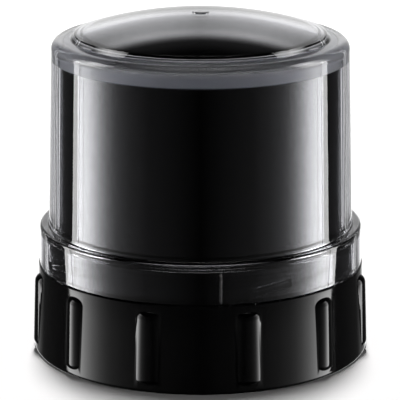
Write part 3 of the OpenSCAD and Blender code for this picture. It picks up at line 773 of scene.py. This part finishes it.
def curve_of(n, link, value, points, top):
    """A value read off a curve of (degrees, height) points. Heights are shares of top."""
    curve = n.new('ShaderNodeValToRGB')
    curve.color_ramp.interpolation = 'LINEAR'
    stops = curve.color_ramp.elements
    for i, (place, height) in enumerate(points):
        stop = stops[i] if i < len(stops) else stops.new(place / 180)
        stop.position = place / 180
        stop.color = (height / top, height / top, height / top, 1)
    link(value, curve.inputs["Fac"])
    return curve.outputs["Color"]


def bearing(n, link, parts):
    """How far round a direction lies: 0 is the front, 1 the back, on both sides alike."""
    side = maths(n, link, 'ABSOLUTE', parts.outputs["X"])
    front = maths(n, link, 'MULTIPLY', parts.outputs["Y"], -1.0)
    return maths(n, link, 'DIVIDE', maths(n, link, 'ARCTAN2', side, front), math.pi)


def studio_room(n, link, card_light):
    """What gloss shows past the side cards: a dark room in front, the glow of the table
    on each side, and the pale backdrop behind, dark again high up. Bearings start at the
    front, and heights straight below."""
    parts = n.new('ShaderNodeSeparateXYZ')
    link(n.new('ShaderNodeTexCoord').outputs["Generated"], parts.inputs[0])
    rise = maths(n, link, 'ADD', maths(n, link, 'DIVIDE', maths(
        n, link, 'ARCSINE', parts.outputs["Z"]), math.pi), 0.5)
    top, strong = 4.0, 1.6
    by_bearing = curve_of(n, link, bearing(n, link, parts), [
        (0, 0.006), (40, 0.05), (54, 0.11), (63, 0.2), (68, 0.31), (73, 0.53), (79, 1.0),
        (84, 1.62), (92, 2.9), (98, 3.45), (102.7, 3.45), (103.3, 0.02), (140, 0.03),
        (155, 0.2), (162, 0.6), (168, 1.05), (172, 1.2), (176, 1.1), (180, 0.9)],
        top)
    by_height = curve_of(n, link, rise, [
        (0, 0.02), (55, 0.05), (66, 1.6), (80, 1.6), (86, 1), (98, 1), (101.5, 0.95), (105, 0.7),
        (110, 0.6), (114, 0.6), (117, 0.64), (119, 0.75), (121, 0.9), (122.8, 0.75),
        (124.2, 0.38), (125.5, 0.16), (127, 0.04), (135, 0.003), (180, 0.003)], strong)
    return maths(n, link, 'MULTIPLY', maths(n, link, 'MULTIPLY', by_bearing, by_height),
                 top * strong * card_light)


def fading(n, link, start, end, at_start, at_end):
    """A value that changes softly from at_start to at_end between two distances from the
    upright axis, in metres."""
    reach = off_axis(n, link, n.new('ShaderNodeTexCoord'))
    return ranged(n, link, reach, start, end, at_start, at_end, soft=True)


def show_with_glow(n, link, base, strength):
    """Makes a shader and a glow, added up, the surface of a material."""
    glow = n.new('ShaderNodeEmission')
    both = n.new('ShaderNodeAddShader')
    out = n.new('ShaderNodeOutputMaterial')
    if isinstance(strength, (int, float)):
        glow.inputs["Strength"].default_value = strength
    else:
        link(strength, glow.inputs["Strength"])
    link(base.outputs[0], both.inputs[0])
    link(glow.outputs[0], both.inputs[1])
    link(both.outputs[0], out.inputs["Surface"])


def light_card(card, level, shown_by, radius=0.0, fades=False):
    """Makes a plane a card of light that only the pieces in a collection show. With a
    radius, in metres, it is a round card that fades towards its edge, and a card that
    fades does so towards its two sides."""
    bright_share, bright_middle, half = 0.4, 0.1, 0.5
    material, n, link = new_material(card.name)
    n.clear()
    strength = level
    if radius:
        strength = fading(n, link, bright_share * radius, radius, level, 0)
    if fades:
        across = n.new('ShaderNodeSeparateXYZ')
        link(n.new('ShaderNodeTexCoord').outputs["UV"], across.inputs[0])
        side = maths(n, link, 'ABSOLUTE', maths(n, link, 'SUBTRACT', across.outputs["X"], half))
        strength = ranged(n, link, side, bright_middle, half, level, 0, soft=True)
    show_with_glow(n, link, n.new('ShaderNodeBsdfTransparent'), strength)
    card.data.materials.append(material)
    card.visible_camera = card.visible_shadow = False
    card.light_linking.receiver_collection = shown_by


def overhead_card(name, radius, level, shown_by):
    """A round soft card of light over the object, with its radius in metres."""
    height = 2.2
    select_nothing()
    bpy.ops.mesh.primitive_plane_add(size=2 * radius, location=(0, 0, height))
    light_card(settle(named(name)), level, shown_by, radius)


def glow_card(name, bearing_angle, half_width, low, high, level, shown_by, fades):
    """A card of light round about the object. Its bearing from the front, its half width,
    its foot and its top are in degrees."""
    distance = 3.0
    foot, top = (distance * math.tan(math.radians(angle)) for angle in (low, high))
    select_nothing()
    bpy.ops.mesh.primitive_plane_add(size=1, rotation=(math.radians(90), 0, 0))
    card = named(name)
    card.scale = (2 * distance * math.tan(math.radians(half_width)), top - foot, 1)
    card.location = (0, -distance, (foot + top) / 2)
    settle(card)
    turned_round(card, bearing_angle)
    card.visible_diffuse = False
    light_card(card, level, shown_by, fades=fades)


class CHOPPER_OT_stage(bpy.types.Operator):
    """Set the floor, the room's light, the cards of light, the soft lamp and the camera"""
    bl_idname = "chopper.stage"
    bl_label = "Studio stage"

    def floor(self):
        """A pale floor that glows towards the far edge, for the camera only"""
        glow_start, glow_end, glow_level = 0.15, 0.9, 0.85
        select_nothing()
        bpy.ops.mesh.primitive_plane_add(size=14, location=(0, 0, 0))
        floor = named("studio_floor")
        material, n, link = new_material("Pale floor")
        n.clear()
        paint = with_values(n.new('ShaderNodeBsdfDiffuse'), {"Color": (0.93, 0.92, 0.92, 1)})
        far = fading(n, link, glow_start, glow_end, 0, glow_level)
        path = n.new('ShaderNodeLightPath')
        show_with_glow(n, link, paint,
                       maths(n, link, 'MULTIPLY', far, path.outputs["Is Camera Ray"]))
        floor.data.materials.append(material)
        floor.visible_glossy = floor.visible_transmission = False

    def air(self, scene, s):
        """White for the camera, the room for gloss and clear parts, and a plain light"""
        world = bpy.data.worlds.new("Studio air")
        scene.world = world
        world.use_nodes = True
        n, link = world.node_tree.nodes, world.node_tree.links.new
        air = with_values(n["Background"], {"Color": (1, 1, 1, 1)})
        room = studio_room(n, link, s.card_light)
        path = n.new('ShaderNodeLightPath')
        plain = with_values(n.new('ShaderNodeMix'), {"A": s.air_light, "B": 1.0})
        link(path.outputs["Is Camera Ray"], plain.inputs["Factor"])
        shown = maths(n, link, 'MAXIMUM', path.outputs["Is Glossy Ray"],
                      path.outputs["Is Transmission Ray"])
        level = n.new('ShaderNodeMix')
        link(shown, level.inputs["Factor"])
        link(plain.outputs["Result"], level.inputs["A"])
        link(room, level.inputs["B"])
        link(level.outputs["Result"], air.inputs["Strength"])

    def collection(self, scene, name, belongs):
        """A collection of the pieces whose names pass a test"""
        group = bpy.data.collections.new(name)
        for obj in scene.objects:
            if belongs(obj.name):
                group.objects.link(obj)
        return group

    def cards(self, scene, light):
        """The cards over the object, and four on each side of it, alike left and right"""
        clear_parts = self.collection(
            scene, "Clear parts", lambda name: name in ("clear_jar", "black_bowl"))
        working_parts = self.collection(
            scene, "Working parts", lambda name: name.endswith("_finished"))
        overhead_card("top_card", 1.2, 1.5 * light, clear_parts)
        overhead_card("inner_card", 5.0, 0.9 * light, working_parts)
        for side, name in ((-1, "left"), (1, "right")):
            for part, place, half_width, low, high, level, fades in (
                    ("edge", 106.7, 3.7, -35, 18, 5.5, False),
                    ("upper", 98, 22, 8, 44, 4.6, True),
                    ("back", 140.7, 0.8, -60, 30, 1.9, False),
                    ("rear", 144.9, 1.1, -60, 30, 1.0, False)):
                glow_card(f"{part}_card_{name}", side * place, half_width, low, high,
                          level * light, clear_parts, fades)

    def lamp(self, power):
        """The soft lamp behind and over the object, which gloss doesn't show"""
        place, aim = Vector((0, 0.41, 2.2)), Vector((0, 0, 0.05))
        bpy.ops.object.light_add(type='AREA', location=place)
        lamp = bpy.context.object
        lamp.name = "soft_lamp"
        lamp.data.shape = 'RECTANGLE'
        lamp.data.size, lamp.data.size_y = 0.25, 0.5
        lamp.data.energy = power
        lamp.rotation_euler = (aim - place).to_track_quat('-Z', 'Y').to_euler()
        lamp.visible_glossy = lamp.visible_transmission = False

    def camera(self, scene, lens):
        """A long lens in front that looks down on the object, shifted by half a pixel"""
        place, looks_down, picture_width = (0, -0.700, 0.2359), 15.16, 400
        bpy.ops.object.camera_add(location=place,
                                  rotation=(math.radians(90 - looks_down), 0, 0))
        camera = bpy.context.object
        camera.data.sensor_width = 36
        camera.data.lens = lens
        camera.data.shift_x = -0.5 / picture_width
        camera.data.clip_start = 0.01
        scene.camera = camera

    def execute(self, context):
        s = context.scene.chopper_stage
        scene = context.scene
        scene.view_settings.view_transform = 'Standard'
        self.floor()
        self.air(scene, s)
        self.cards(scene, s.card_light)
        self.lamp(s.lamp_power)
        self.camera(scene, s.lens)
        return {'FINISHED'}


class CHOPPER_PT_panel(bpy.types.Panel):
    """Lists the chopper's pieces and its stage"""
    bl_idname = "CHOPPER_PT_panel"
    bl_label = "Food chopper"
    bl_space_type = 'VIEW_3D'
    bl_region_type = 'UI'
    bl_category = "Chopper"

    def draw(self, context):
        layout = self.layout
        for group in (context.scene.chopper_collar, context.scene.chopper_jar,
                      context.scene.chopper_stage):
            box = layout.box()
            for key in group.__annotations__:
                box.prop(group, key)
        for step in STEPS:
            layout.operator(step.bl_idname)


STEPS = (CHOPPER_OT_collar, CHOPPER_OT_jar, CHOPPER_OT_bowl, CHOPPER_OT_inner_parts,
         CHOPPER_OT_stage)
GROUPS = (("chopper_collar", CollarSettings), ("chopper_jar", JarSettings),
          ("chopper_stage", StageSettings))


def register():
    for name, group in GROUPS:
        bpy.utils.register_class(group)
        setattr(bpy.types.Scene, name, bpy.props.PointerProperty(type=group))
    for step in STEPS:
        bpy.utils.register_class(step)
    bpy.utils.register_class(CHOPPER_PT_panel)


def unregister():
    bpy.utils.unregister_class(CHOPPER_PT_panel)
    for step in reversed(STEPS):
        bpy.utils.unregister_class(step)
    for name, group in reversed(GROUPS):
        delattr(bpy.types.Scene, name)
        bpy.utils.unregister_class(group)


def main():
    register()
    bpy.ops.chopper.collar()
    bpy.ops.chopper.jar()
    bpy.ops.chopper.bowl()
    bpy.ops.chopper.inner_parts()
    bpy.ops.chopper.stage()


if __name__ == "__main__":
    main()
